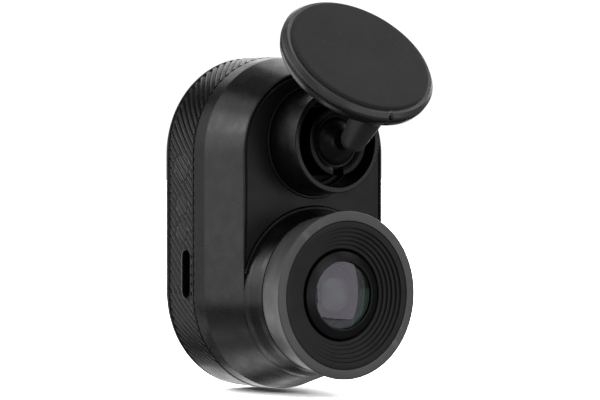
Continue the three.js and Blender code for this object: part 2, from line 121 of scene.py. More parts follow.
def towards(az, el):
    """Unit vector from the object to a place seen at azimuth az (0 is the front) and elevation el."""
    return Vector((math.sin(az) * math.cos(el), -math.cos(az) * math.cos(el), math.sin(el)))


def upright(back):
    """Right and up directions of an object whose +Z axis points along back."""
    right = Vector((0, 0, 1)).cross(back).normalized()
    return right, back.cross(right)


def aim(obj, direction):
    """Turns obj so that its -Z axis looks along direction, with Z up."""
    back = -direction.normalized()
    right, up = upright(back)
    obj.matrix_world = Matrix.Translation(obj.location) @ Matrix((right, up, back)).transposed().to_4x4()


def add_camera():
    back = towards(VIEW_AZ, VIEW_EL)
    right, up = upright(back)
    data = bpy.data.cameras.new("camera")
    data.lens = LENS_LENGTH
    data.sensor_width = SENSOR_WIDTH
    data.clip_start = 0.01
    data.clip_end = 20
    cam = bpy.data.objects.new("camera", data)
    bpy.context.scene.collection.objects.link(cam)
    cam.location = HOUSING @ (TARGET + right * VIEW_RIGHT + up * VIEW_UP + back * VIEW_DIST)
    aim(cam, -back)
    bpy.context.scene.camera = cam


def add_area(name, az, el, width, height, power, tint=(1, 1, 1)):
    """Rectangular lamp that faces the object from az and el, in degrees."""
    data = bpy.data.lights.new(name, "AREA")
    data.shape = "RECTANGLE"
    data.size, data.size_y = width * MM, height * MM
    data.energy = power
    data.color = tint
    lamp = bpy.data.objects.new(name, data)
    bpy.context.scene.collection.objects.link(lamp)
    direction = towards(math.radians(az), math.radians(el))
    lamp.location = HOUSING @ (TARGET + direction * LAMP_DIST)
    aim(lamp, -direction)


def add_world():
    """A white backdrop for the camera, and a much weaker white fill for everything else."""
    world = bpy.data.worlds.new("studio")
    bpy.context.scene.world = world
    world.use_nodes = True
    tree = world.node_tree
    tree.nodes.clear()
    out = tree.nodes.new("ShaderNodeOutputWorld")
    path = tree.nodes.new("ShaderNodeLightPath")
    mix = tree.nodes.new("ShaderNodeMixShader")
    tree.links.new(path.outputs["Is Camera Ray"], mix.inputs[0])
    for socket, strength in ((1, SKY_FILL), (2, SKY_SEEN)):
        sky = tree.nodes.new("ShaderNodeBackground")
        sky.inputs["Color"].default_value = (1, 1, 1, 1)
        sky.inputs["Strength"].default_value = strength
        tree.links.new(sky.outputs[0], mix.inputs[socket])
    tree.links.new(mix.outputs[0], out.inputs["Surface"])


def add_floor():
    """Pale floor, 6 m wide, just under the housing, with a wide sun that lights it alone."""
    mesh = bpy.data.meshes.new("floor")
    z = ORIGIN.z - FLOOR_DROP * MM
    reach = 3.0
    corners = [(-reach, -reach, z), (reach, -reach, z), (reach, reach, z), (-reach, reach, z)]
    mesh.from_pydata(corners, [], [(0, 1, 2, 3)])
    floor = bpy.data.objects.new("floor", mesh)
    bpy.context.scene.collection.objects.link(floor)
    mat = bpy.data.materials.new("floor")
    mat.use_nodes = True
    shader = mat.node_tree.nodes["Principled BSDF"]
    place = mat.node_tree.nodes.new("ShaderNodeTexCoord").outputs["Object"]
    paper = blend_colour(mat.node_tree, noise(mat.node_tree, place, 30, 2), (0.88,) * 3, (0.92,) * 3)
    mat.node_tree.links.new(paper, shader.inputs["Base Color"])
    shader.inputs["Roughness"].default_value = 0.9
    shader.inputs["Specular IOR Level"].default_value = 0.0
    floor.visible_diffuse = False
    floor.visible_glossy = False
    floor.visible_transmission = False
    floor.visible_shadow = False
    mesh.materials.append(mat)
    data = bpy.data.lights.new("floor_wash", "SUN")
    data.energy = WASH_STRENGTH
    data.angle = math.radians(WASH_ANGLE)
    wash = bpy.data.objects.new("floor_wash", data)
    bpy.context.scene.collection.objects.link(wash)
    aim(wash, Vector((-0.1, -0.2, -1)))
    only = bpy.data.collections.new("floor_only")
    only.objects.link(floor)
    wash.light_linking.receiver_collection = only


# Lamps whose reflections show in the lens glass only: name, azimuth, elevation, width, height, watts,
# tint. Angles are in degrees, and azimuth 0 is in front of the lens.
GLASS_LAMPS = (
    ("window", 27, 6, 374, 485, 0.59, (1, 0.95, 1)),
    ("window_sill", 20, -41, 480, 230, 0.11, (0.8, 1, 0.95)),
    ("window_side", 71, -18, 300, 270, 0.055, (0.4, 1, 0.72)),
)

# Softboxes of one size round the object: name, azimuth, elevation, watts.
SOFTBOXES = (
    ("top_front", 0, 70, 0.110), ("top_right", 90, 68, 0.111),
    ("front_low", -10, -2, 0.053), ("front_left", -35, 20, 0.039),
    ("front_right", 15, 20, 0.134), ("front_right_low", 15, -2, 0.059), ("front_right_side", 38, -2, 0.046),
    ("right_high", 65, 42, 0.181), ("right_rear", 100, 20, 0.311),
    ("rear_right_low", 140, -2, 0.136), ("rear_right", 140, 20, 0.158), ("rear_right_high", 140, 42, 0.102),
    ("rear_right_under", 140, -32, 0.022), ("rear_high", 170, 42, 0.022),
    ("left_high", -85, 42, 0.049), ("left_under", -85, -32, 0.022),
    ("left_side", -108, -2, 0.086), ("left_side_mid", -108, 20, 0.125),
    ("left_rear_low", -130, -2, 0.041), ("left_rear_mid", -130, 20, 0.054),
    ("left_rear_high", -130, 42, 0.074), ("left_rear_under", -130, -32, 0.027),
    ("rear_left", -155, 20, 0.029),
    ("rear_glow", 163, 31, 0.078), ("rear_under", 157, -28, 0.105),
    ("floor_bounce", -165, -58, 0.100), ("floor_bounce_left", -131, -47, 0.025),
)

# Square lamps of other sizes: name, azimuth, elevation, side, watts.
SQUARE_LAMPS = (
    ("left_highlight", -118, 31, 110, 0.065),
    ("back_soft", 188, -10, 260, 0.3),
)


def add_lights():
    for name, az, el, watts in SOFTBOXES:
        add_area(name, az, el, SOFTBOX_SIZE, SOFTBOX_SIZE, watts)
    for name, az, el, side, watts in SQUARE_LAMPS:
        add_area(name, az, el, side, side, watts)
    for name, az, el, width, height, watts, tint in GLASS_LAMPS:
        add_area(name, az, el, width, height, watts, tint)


def link_lamps():
    """Keep the lens reflections and the general light apart: each set of lamps lights its own pieces."""
    glass_only = bpy.data.collections.new("glass_only")
    all_but_glass = bpy.data.collections.new("all_but_glass")
    for obj in list(bpy.context.scene.objects):
        if obj.type == "MESH" and obj.name.endswith("_glass"):
            glass_only.objects.link(obj)
            all_but_glass.objects.link(obj)
    for member in all_but_glass.collection_objects:
        member.light_linking.link_state = "EXCLUDE"
    names = [lamp[0] for lamp in GLASS_LAMPS]
    for obj in list(bpy.context.scene.objects):
        if obj.type == "LIGHT" and obj.name != "floor_wash":
            obj.light_linking.receiver_collection = glass_only if obj.name in names else all_but_glass


# ------------------------------------------------------------------ materials
def new_tree(name):
    mat = bpy.data.materials.new(name)
    mat.use_nodes = True
    tree = mat.node_tree
    tree.nodes.clear()
    out = tree.nodes.new("ShaderNodeOutputMaterial")
    shader = tree.nodes.new("ShaderNodeBsdfPrincipled")
    tree.links.new(shader.outputs[0], out.inputs["Surface"])
    return mat, tree, shader


def noise(tree, source, scale, detail=3.0, rough=0.55):
    node = tree.nodes.new("ShaderNodeTexNoise")
    node.inputs["Scale"].default_value = scale
    node.inputs["Detail"].default_value = detail
    node.inputs["Roughness"].default_value = rough
    tree.links.new(source, node.inputs["Vector"])
    return node.outputs["Fac"]


def spread(tree, source, low, high, start=0.3, end=0.7):
    """Maps source from start..end onto low..high, held at both ends."""
    node = tree.nodes.new("ShaderNodeMapRange")
    node.inputs["From Min"].default_value = start
    node.inputs["From Max"].default_value = end
    node.inputs["To Min"].default_value = low
    node.inputs["To Max"].default_value = high
    tree.links.new(source, node.inputs["Value"])
    return node.outputs["Result"]


def blend_colour(tree, fac, a, b):
    """Mixes a and b by fac. Each is a colour or a socket."""
    node = tree.nodes.new("ShaderNodeMix")
    node.data_type = "RGBA"
    tree.links.new(fac, node.inputs["Factor"])
    for socket, value in ((node.inputs["A"], a), (node.inputs["B"], b)):
        if isinstance(value, tuple):
            socket.default_value = (*value[:3], 1)
        else:
            tree.links.new(value, socket)
    return node.outputs["Result"]


def scaled(colour, k):
    return tuple(min(1.0, c * k) for c in colour)


ROUGH_DRIFT, GRAIN_STRENGTH = 0.06, 0.5


def moulded(name, colour, rough, *, spec=0.5, metal=0.0, grain=7000, grain_mm=0.006, pits=True,
            mottle=0.18, wear=1.6, dust=0.0, coat=0.0):
    """Moulded or machined surface: eroded micro texture, slow colour and roughness drift, paler edges."""
    mat, tree, shader = new_tree(name)
    place = tree.nodes.new("ShaderNodeTexCoord").outputs["Object"]
    slow = spread(tree, noise(tree, place, 95, 2), 0, 1)
    body = blend_colour(tree, slow, scaled(colour, 1 - mottle), scaled(colour, 1 + mottle))
    if dust:
        specks = noise(tree, place, 2600, 1, 0.3)
        body = blend_colour(tree, spread(tree, specks, 0, dust, 0.68, 0.78), body, scaled(colour, 2.5))
    if wear:
        edge = tree.nodes.new("ShaderNodeNewGeometry").outputs["Pointiness"]
        body = blend_colour(tree, spread(tree, edge, 0, 0.8, 0.53, 0.62), body, scaled(colour, wear))
    tree.links.new(body, shader.inputs["Base Color"])
    mid = noise(tree, place, 420, 3)
    drift = spread(tree, mid, rough - ROUGH_DRIFT, rough + ROUGH_DRIFT)
    tree.links.new(drift, shader.inputs["Roughness"])
    shader.inputs["Metallic"].default_value = metal
    shader.inputs["Specular IOR Level"].default_value = spec
    if coat:
        shader.inputs["Coat Weight"].default_value = coat
        shader.inputs["Coat Roughness"].default_value = 0.15
    fine = noise(tree, place, grain, 3, 0.6)
    height = fine
    if pits:
        cells = tree.nodes.new("ShaderNodeTexVoronoi")
        cells.feature = "SMOOTH_F1"
        cells.inputs["Scale"].default_value = grain * 0.6
        tree.links.new(place, cells.inputs["Vector"])
        add = tree.nodes.new("ShaderNodeMath")
        add.operation = "ADD"
        tree.links.new(fine, add.inputs[0])
        tree.links.new(cells.outputs["Distance"], add.inputs[1])
        height = add.outputs[0]
    bump = tree.nodes.new("ShaderNodeBump")
    bump.inputs["Strength"].default_value = GRAIN_STRENGTH
    bump.inputs["Distance"].default_value = grain_mm * MM
    tree.links.new(height, bump.inputs["Height"])
    tree.links.new(bump.outputs["Normal"], shader.inputs["Normal"])
    return mat


def optical(name, tint, rough, ior, spec_tint=(1, 1, 1)):
    """Polished glass with a faint drift of tint and a few dull specks of dust."""
    mat, tree, shader = new_tree(name)
    place = tree.nodes.new("ShaderNodeTexCoord").outputs["Object"]
    slow = noise(tree, place, 180, 2)
    colour = blend_colour(tree, spread(tree, slow, 0, 1), scaled(tint, 0.96), scaled(tint, 1.04))
    tree.links.new(colour, shader.inputs["Base Color"])
    specks = noise(tree, place, 1500, 2, 0.4)
    tree.links.new(spread(tree, specks, rough, rough + 0.08, 0.7, 0.8), shader.inputs["Roughness"])
    shader.inputs["Transmission Weight"].default_value = 1.0
    shader.inputs["IOR"].default_value = ior
    shader.inputs["Specular Tint"].default_value = (*spec_tint, 1)
    return mat


def circuit(name):
    """Green solder mask with traces and pads."""
    mat, tree, shader = new_tree(name)
    place = tree.nodes.new("ShaderNodeTexCoord").outputs["Object"]
    brick = tree.nodes.new("ShaderNodeTexBrick")
    brick.inputs["Scale"].default_value = 420
    brick.inputs["Mortar Size"].default_value = 0.012
    brick.inputs["Color1"].default_value = (0.012, 0.09, 0.045, 1)
    brick.inputs["Color2"].default_value = (0.01, 0.075, 0.04, 1)
    brick.inputs["Mortar"].default_value = (0.03, 0.16, 0.08, 1)
    turn = tree.nodes.new("ShaderNodeMapping")
    turn.inputs["Rotation"].default_value = (math.pi / 2, 0, 0)
    tree.links.new(place, turn.inputs["Vector"])
    tree.links.new(turn.outputs[0], brick.inputs["Vector"])
    pads = tree.nodes.new("ShaderNodeTexVoronoi")
    pads.inputs["Scale"].default_value = 700
    tree.links.new(place, pads.inputs["Vector"])
    pad_area = spread(tree, pads.outputs["Distance"], 1, 0, 0.1, 0.14)
    body = blend_colour(tree, pad_area, brick.outputs["Color"], (0.6, 0.42, 0.15))
    tree.links.new(body, shader.inputs["Base Color"])
    tree.links.new(spread(tree, noise(tree, place, 300), 0.3, 0.45), shader.inputs["Roughness"])
    bump = tree.nodes.new("ShaderNodeBump")
    bump.inputs["Distance"].default_value = 0.02 * MM
    tree.links.new(brick.outputs["Fac"], bump.inputs["Height"])
    tree.links.new(bump.outputs["Normal"], shader.inputs["Normal"])
    return mat


MAT = {
    "shell": moulded("shell_plastic", (0.0080, 0.0080, 0.0081), 0.28, spec=0.68),
    "cover": moulded("cover_plastic", (0.0040, 0.0040, 0.0041), 0.45, spec=0.22),
    "band": moulded("ribbed_plastic", (0.0050, 0.0050, 0.0051), 0.26, spec=0.42, wear=2.0),
    "fascia": moulded("fascia_plastic", (0.0140, 0.0140, 0.0142), 0.38, spec=0.5, wear=1.2),
    "ring": moulded("lens_ring_plastic", (0.1620, 0.1620, 0.1640), 0.36, spec=0.95),
    "baffle": moulded("baffle_plastic", (0.0450, 0.0450, 0.0456), 0.50, spec=0.35, wear=1.0),
    "cone": moulded("cone_plastic", (0.0160, 0.0157, 0.0166), 0.34, spec=0.4, wear=1.0),
    # Near-black, dull colour that paints the shade in recesses: the gap round the retainer cone and the back
    # of the power port.
    "recess_shade": moulded("recess_shade_black", (0.004, 0.004, 0.004), 0.75, spec=0.1, wear=0),
    # Near-black socket plastic; the arm's stem also takes it, as painted shade on that part of the arm.
    "socket": moulded("socket_plastic_and_stem_shade", (0.0020, 0.0020, 0.0021), 0.28, spec=0.36),
    "liner": moulded("liner_plastic", (0.05, 0.05, 0.052), 0.5, wear=0),
    "arm": moulded("arm_plastic", (0.0600, 0.0600, 0.0610), 0.34, spec=0.8, wear=1.0),
    "plate": moulded("plate_plastic", (0.0820, 0.0820, 0.0832), 0.32, spec=0.9),
    "pad": moulded("adhesive_foam", (0.0770, 0.0770, 0.0785), 0.80, spec=0.3, grain=5200, grain_mm=0.012,
                   wear=0, mottle=0.08, dust=0.25),
    # Near-black button plastic; the arm's ball also takes it, as painted shade inside the socket.
    "button": moulded("button_plastic_and_ball_shade", (0.0080, 0.0080, 0.0082), 0.30, spec=0.5),
    "chip": moulded("chip_package", (0.03, 0.03, 0.032), 0.55),
    "sleeve": moulded("capacitor_sleeve", (0.02, 0.026, 0.05), 0.3, coat=0.4, pits=False),
    "steel": moulded("stamped_steel", (0.62, 0.63, 0.64), 0.3, metal=1.0, wear=1.1, pits=False, mottle=0.05),
    "dark_steel": moulded("port_steel", (0.16, 0.16, 0.165), 0.35, metal=1.0, wear=1.1, pits=False),
    "aluminium": moulded("spreader_sheet", (0.7, 0.71, 0.72), 0.35, metal=1.0, wear=1.0, pits=False,
                         mottle=0.05),
    "filler": moulded("gap_filler", (0.3, 0.32, 0.34), 0.85, wear=0),
    "nylon": moulded("natural_nylon", (0.6, 0.58, 0.52), 0.5, wear=0),
    "flex": moulded("flex_circuit", (0.36, 0.17, 0.03), 0.35, coat=0.5, wear=0),
    "board": circuit("solder_mask"),
    "front_glass": optical("front_glass", (0.42, 0.46, 0.44), 0.0, 1.7, spec_tint=(0.94, 0.88, 1.0)),
    "inner_glass": optical("inner_glass", (0.96, 1.0, 0.98), 0.0, 1.3, spec_tint=(0.7, 1.0, 0.85)),
    "core_glass": optical("core_glass", (0.96, 1.0, 0.98), 0.0, 2.1, spec_tint=(0.95, 1.0, 1.0)),
    "filter_glass": optical("filter_glass", (0.5, 0.8, 0.9), 0.05, 1.5),
    "clear": optical("light_guide", (0.93, 0.95, 1.0), 0.12, 1.5),
}


# ------------------------------------------------------------------ mesh building
def rounded(corners, steps=5):
    """Open polyline through (r, y, radius) corners, with an arc at each corner that has a radius."""
    pts = [np.array(c[:2], float) for c in corners]
    out = [pts[0]]
    for i in range(1, len(pts) - 1):
        radius = corners[i][2] if len(corners[i]) > 2 else 0
        if not radius:
            out.append(pts[i])
            continue
        a, b = pts[i - 1] - pts[i], pts[i + 1] - pts[i]
        la, lb = np.linalg.norm(a), np.linalg.norm(b)
        a, b = a / la, b / lb
        half = math.acos(max(-1.0, min(1.0, float(a @ b)))) / 2
        if half > math.radians(89):
            out.append(pts[i])
            continue
        reach = min(radius / math.tan(half), 0.48 * la, 0.48 * lb)
        radius = reach * math.tan(half)
        middle = (a + b) / np.linalg.norm(a + b)
        centre = pts[i] + middle * (radius / math.sin(half))
        start, end = pts[i] + a * reach - centre, pts[i] + b * reach - centre
        sweep = math.acos(max(-1.0, min(1.0, float(start @ end) / radius ** 2)))
        for k in range(steps + 1):
            t = k / steps
            w0, w1 = math.sin((1 - t) * sweep), math.sin(t * sweep)
            out.append(centre + (start * w0 + end * w1) / math.sin(sweep))
    out.append(pts[-1])
    return [(float(p[0]), float(p[1])) for p in out]


def circle_columns(n, x=0.0, z=0.0):
    """Columns round a circle: (centre x, centre z, outward x, outward z)."""
    return [(x, z, math.cos(TAU * i / n), math.sin(TAU * i / n)) for i in range(n)]


def stadium_columns(n, radius=R_BODY):
    """Columns at even steps round the housing's outline, up the left side first, and the distance
    along the outline of each."""
    straight = HIGH - LOW
    total = 2 * straight + TAU * radius
    columns, along = [], []
    for i in range(n):
        s = total * i / n
        along.append(s)
        if s < straight:
            columns.append((0, LOW + s, -1, 0))
        elif s < straight + math.pi * radius:
            a = math.pi - (s - straight) / radius
            columns.append((0, HIGH, math.cos(a), math.sin(a)))
        elif s < 2 * straight + math.pi * radius:
            columns.append((0, HIGH - (s - straight - math.pi * radius), 1, 0))
        else:
            a = -(s - 2 * straight - math.pi * radius) / radius
            columns.append((0, LOW, math.cos(a), math.sin(a)))
    return columns, np.array(along)


WELD_MM, SLIVER_MM = 2e-4, 1e-5


def finish_mesh(name, verts, faces, place, mat, sharp=35):
    """Object from verts in mm in the frame `place`: welded, outward facing, and smooth where faces
    meet at less than `sharp` degrees, or everywhere when sharp is 0."""
    mesh = bpy.data.meshes.new(name)
    mesh.from_pydata([tuple(v) for v in verts], [], faces)
    work = bmesh.new()
    work.from_mesh(mesh)
    bmesh.ops.remove_doubles(work, verts=work.verts, dist=WELD_MM)
    bmesh.ops.dissolve_degenerate(work, edges=work.edges, dist=SLIVER_MM)
    bmesh.ops.recalc_face_normals(work, faces=work.faces)
    work.to_mesh(mesh)
    work.free()
    mesh.transform(place)
    mesh.materials.append(MAT[mat])
    mesh.shade_smooth()
    if sharp:
        mesh.set_sharp_from_angle(angle=math.radians(sharp))
    obj = bpy.data.objects.new(name, mesh)
    bpy.context.scene.collection.objects.link(obj)
    return obj


def skin(shape, close_u=True, close_v=False):
    """Quads over a grid of points of the given (columns, rows) shape."""
    nu, nv = shape
    faces = []
    for i in range(nu if close_u else nu - 1):
        i2 = (i + 1) % nu
        for j in range(nv if close_v else nv - 1):
            j2 = (j + 1) % nv
            faces.append((i * nv + j, i2 * nv + j, i2 * nv + j2, i * nv + j2))
    return faces


def carried(columns, profile):
    """Points in mm of a (radius, y) profile at every column. A radius or y may differ by column."""
    cols = np.array(columns)
    grid = np.empty((len(cols), len(profile), 3))
    for j, (r, y) in enumerate(profile):
        grid[:, j, 0] = cols[:, 0] + cols[:, 2] * r
        grid[:, j, 1] = y
        grid[:, j, 2] = cols[:, 1] + cols[:, 3] * r
    return grid


def even_normals(obj, weight=50):
    even = obj.modifiers.new("even_normals", "WEIGHTED_NORMAL")
    even.keep_sharp = True
    even.weight = weight


def swept(name, profile, columns, place, mat, *, close=False, sharp=35, flats=True):
    """Object from a profile carried round the columns. `flats` keeps its flat faces evenly lit."""
    grid = carried(columns, profile)
    obj = finish_mesh(name, grid.reshape(-1, 3), skin(grid.shape[:2], True, close), place, mat, sharp)
    if flats:
        even_normals(obj, 80)
    return obj


def cut(obj, cutter):
    """Takes the cutter's volume out of obj and removes the cutter."""
    tool = obj.modifiers.new("cut", "BOOLEAN")
    tool.operation = "DIFFERENCE"
    tool.solver = "EXACT"
    tool.object = cutter
    graph = bpy.context.evaluated_depsgraph_get()
    done = bpy.data.meshes.new_from_object(obj.evaluated_get(graph))
    obj.modifiers.remove(tool)
    old = obj.data
    obj.data = done
    bpy.data.meshes.remove(old)
    shape = cutter.data
    bpy.data.objects.remove(cutter)
    bpy.data.meshes.remove(shape)


def resmoothed(obj, sharp):
    """Smooths obj again after its cuts, up to `sharp` degrees."""
    obj.data.shade_smooth()
    obj.data.set_sharp_from_angle(angle=math.radians(sharp))
    even_normals(obj)


def slot_columns(tall, wide, n=20):
    """Outline of a round-ended slot as (spine offset, outward across, outward along)."""
    reach = (tall - wide) / 2
    cols = []
    for spine, start in ((reach, 0), (-reach, math.pi)):
        for i in range(n + 1):
            a = start + math.pi * i / n
            cols.append((spine, math.cos(a), math.sin(a)))
    return cols


def side_slot(name, profile, spec, mat):
    """A closed profile of (offset from the slot's edge, x) pairs carried round a slot in the side."""
    verts = []
    cols = slot_columns(spec["tall"], spec["wide"])
    for spine, across, along in cols:
        for off, x in profile:
            r = spec["wide"] / 2 + off
            verts.append((x, spec["y"] + across * r, spec["z"] + spine + along * r))
    faces = skin((len(cols), len(profile)), True, True)
    return finish_mesh(name, verts, faces, HOUSING, mat)


def slot_prism(x0, x1, spec):
    """Solid round-ended prism along X that cuts the opening of a side slot."""
    cols = slot_columns(spec["tall"], spec["wide"])
    r = spec["wide"] / 2 + spec["gap"]
    n = len(cols)
    verts = []
    for x in (x0, x1):
        for spine, across, along in cols:
            verts.append((x, spec["y"] + across * r, spec["z"] + spine + along * r))
    faces = [tuple(range(n)), tuple(range(2 * n - 1, n - 1, -1))]
    faces += [(i, n + i, n + (i + 1) % n, (i + 1) % n) for i in range(n)]
    return finish_mesh("cutter", verts, faces, HOUSING, "band")


def stands_for(obj, body, slot, *nodes):
    """Puts a finished piece on its body and in place of its CAD nodes. Its colour slot is not used."""
    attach(obj, body)
    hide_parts(*nodes)


# ------------------------------------------------------------------ rear shell
# Openings in the sides: middle, size, and the gap between the edge and the cut in the ribs.
PORT = {"y": -5.4, "z": 18.6, "tall": 7.55, "wide": 2.1, "gap": 0.32}
CARD = {"y": -5.05, "z": 27.0, "tall": 11.7, "wide": 1.45, "gap": 0.25}
RIB_PITCH, RIB_DEPTH, RIB_SHIFT, Y_RIBS = math.sqrt(2), 0.25, 0.38, -0.62
# Round outlines pressed into the left side's ribs: z, y, radius.
MEDALLIONS = ((25.1, -4.2, 1.7), (29.3, -4.2, 1.7), (35.2, -4.1, 2.2))


def ease(value):
    """Smooth step from 0 to 1."""
    value = np.clip(value, 0, 1)
    return value * value * (3 - 2 * value)


def groove(turns, half_width=0.17):
    """Depth, 0 to -1, across ribs one unit apart whose crowns are at whole numbers of turns."""
    near = 0.5 - np.abs(turns - np.rint(turns))
    return -(0.8 * np.exp(-((near / half_width) ** 2)) + 0.2 * np.cos(np.pi * near) ** 2)


def rib_height(columns, along, y):
    """0 on top of a rib, -1 at the bottom of a groove, for every column at one depth y. The ribs
    slant, lose their shift on the way up the left side, and fade out below and at the back."""
    cols = np.array(columns)
    z = cols[:, 1] + cols[:, 3] * R_BODY
    left = cols[:, 2] < -0.9
    left_height = (z - LOW) * (cols[:, 2] < 0)
    shift = RIB_SHIFT * (1 - ease((left_height - 8) / 14))
    depth = groove((along - y) / RIB_PITCH - shift)
    for centre_z, centre_y, radius in MEDALLIONS:
        across, up = y - centre_y, z - centre_z
        dist = np.hypot(up, across)
        inside = ease((radius - dist) / 0.3) * left
        rim = np.exp(-(((dist - radius) / 0.2) ** 2)) * left
        depth = depth * (1 - 0.45 * inside)
        depth = np.minimum(depth, -0.3 * rim)
    fade = ease((z - 3.6) / 4.4) * ease((Y_RIBS - y) / 0.35)
    return depth * fade


def build_ribbed_band():
    """Ribbed side band with the port and card openings cut in it, and a bezel in each."""
    columns, along = stadium_columns(1500)
    rows = [(R_BODY + RIB_DEPTH * rib_height(columns, along, y), y)
            for y in np.linspace(Y_RIBS, SEAM + 0.12, 76)]
    rows += [(rows[-1][0] - 0.12, SEAM), (R_INSIDE, SEAM), (R_INSIDE, Y_RIBS)]
    grid = carried(columns, rows)
    faces = skin(grid.shape[:2], True, True)
    band = finish_mesh("rear_shell_band", grid.reshape(-1, 3), faces, HOUSING, "band", sharp=50)
    for x, spec in ((-15.0, PORT), (15.0, CARD)):
        cut(band, slot_prism(x - 2.5, x + 2.5, spec))
    stands_for(band, "camera", "ribbed_shell", "rear_shell")

    for name, side, spec in (("power_port_bezel", -1, PORT), ("card_slot_bezel", 1, CARD)):
        gap = spec["gap"]
        face = side * (R_BODY - 0.04)
        foot = side * 14.4
        profile = [(gap, foot), (gap, face), (gap - 0.07, face + side * 0.03),
                   (0.07, face + side * 0.03), (0.0, face - side * 0.05), (0.0, foot)]
        bezel = side_slot(name, profile, spec, "shell")
        stands_for(bezel, "camera", "ribbed_shell", "rear_shell")


def build_back_cover():
    """Rounded back. The cuts for the light pipes come out open, and those for the button and the
    microphone, on the plane x = 0, stay closed."""
    back = [(R_BODY, Y_RIBS), (R_BODY - 0.14, -0.52), (R_BODY - 0.14, -0.38), (R_BODY - 0.01, -0.26)]
    for k in range(13):
        a = math.radians(14 + 76 * k / 12)
        back.append((12.0 + 3.7 * math.cos(a) ** 0.8, -0.55 + (Y_BACK + 0.55) * math.sin(a) ** 0.85))
    back += [(11.6, Y_BACK), (8.0, Y_BACK), (4.0, Y_BACK), (0, Y_BACK)]
    back += [(0, 0.7), (12.6, 0.7), (R_INSIDE, Y_RIBS)]
    cover_cols, _ = stadium_columns(220)
    cover = swept("rear_shell_cover", back, cover_cols, HOUSING, "cover", close=True, flats=False)
    for x, z, r in (
        (0, BUTTON_Z, R_BUTTON_HOLE), (-PIPE_X, PIPE_Z, R_PIPE_HOLE), (PIPE_X, PIPE_Z, R_PIPE_HOLE),
        (0, MIC_Z, R_MIC_HOLE),
    ):
        plug = [(0, -1), (r, -1), (r, 3), (0, 3)]
        cut(cover, swept("hole", plug, circle_columns(64, x, z), HOUSING, "cover", flats=False))
    resmoothed(cover, 30)
    stands_for(cover, "camera", "ribbed_shell", "rear_shell")


# ------------------------------------------------------------------ front shell and fascia
def build_front_shell():
    """Tapered wall, lens neck and socket tower. The wall's front edge is rounder towards the top."""
    columns, _ = stadium_columns(360, R_FRONT)
    cols = np.array(columns)
    rim = 0.08 * ease((cols[:, 1] + cols[:, 3] * R_FRONT - 16.4) / 5.0) + 0.002
    rows = rounded([
        (14.25, -6.2), (14.25, -7.62, 0), (15.6, -7.6, 0.16), (R_CREASE, Y_CREASE, 1.6), (R_FRONT, Y_FRONT),
    ], 6)[:-1]
    slope = (R_CREASE - R_FRONT) / (Y_CREASE - Y_FRONT)
    for t in (0.2, 0.4, 0.6, 0.8, 0.95):
        y = Y_CREASE - 1.4 + (Y_FRONT + 0.3 - Y_CREASE + 1.4) * t
        rows.append((R_FRONT + (y - Y_FRONT) * slope, y))
    for k in range(5):
        a = math.pi / 2 * k / 4
        rows.append((R_FRONT - rim * (1 - math.cos(a)) + slope * rim * (1 - math.sin(a)),
                     Y_FRONT + rim * (1 - math.sin(a))))
    inner = R_FRONT - 0.32
    for k in range(4):
        a = math.pi / 2 * k / 3
        rows.append((inner + 0.06 * (1 - math.sin(a)), Y_FRONT + 0.06 * (1 - math.cos(a))))
    rows += [(inner, Y_DECK), (0.0, Y_DECK)]
    grid = carried(columns, rows)
    faces = skin(grid.shape[:2])
    wall = finish_mesh("front_shell_wall", grid.reshape(-1, 3), faces, HOUSING, "shell", sharp=50)
    even_normals(wall)
    stands_for(wall, "camera", "shell", "front_shell")

    neck = rounded([
        (10.4, -15.6), (R_FRONT - 0.03, -15.6), (R_FRONT, Y_FRONT, 0.0), (12.78, -19.35, 1.2),
        (12.36, -20.5, 1.2), (R_NECK + 0.02, Y_NECK + 0.07, 0.07), (11.4, Y_NECK + 0.07),
        (11.4, -23.3), (10.4, -23.3),
    ], 5)
    piece = swept("front_shell_neck", neck, circle_columns(256, 0, LENS_Z), HOUSING, "shell", close=True)
    stands_for(piece, "camera", "shell", "front_shell")

    tower = rounded([
        (0, Y_DECK + 0.2), (R_TOWER_BASE + 0.05, Y_DECK + 0.2), (R_TOWER_BASE, Y_FRONT),
        (R_TOWER_LIP, Y_TOWER, 0.22), (R_BORE, Y_TOWER, 0.14), (R_BORE, Y_DECK, 0.3), (0, Y_DECK),
    ], 6)
    piece = swept("front_shell_tower", tower, circle_columns(192, 0, SOCKET_Z), HOUSING, "shell")
    stands_for(piece, "camera", "shell", "front_shell")


def build_fascia():
    """Inset plate: an outline with a bevelled edge, open round the neck and the socket tower."""
    columns, _ = stadium_columns(300, R_FRONT)
    profile = rounded([
        (0, Y_DECK - 0.1), (R_FRONT - 0.43, Y_DECK - 0.1), (R_FRONT - 0.43, Y_FRONT + 0.24, 0.04),
        (R_FRONT - 0.68, Y_FRONT, 0.05), (0, Y_FRONT),
    ], 4)
    plate = swept("front_fascia_plate", profile, columns, HOUSING, "fascia", flats=False)
    for z, r in ((LENS_Z, R_FRONT + 0.28), (SOCKET_Z, R_TOWER_BASE + 0.3)):
        hole = rounded([
            (0, Y_DECK + 1), (r, Y_DECK + 1), (r, Y_FRONT + 0.22, 0.05), (r + 0.24, Y_FRONT, 0.06),
            (r + 0.24, Y_FRONT - 1), (0, Y_FRONT - 1),
        ], 4)
        cut(plate, swept("hole", hole, circle_columns(200, 0, z), HOUSING, "fascia", flats=False))
    resmoothed(plate, 28)
    stands_for(plate, "camera", "fascia", "front_fascia")


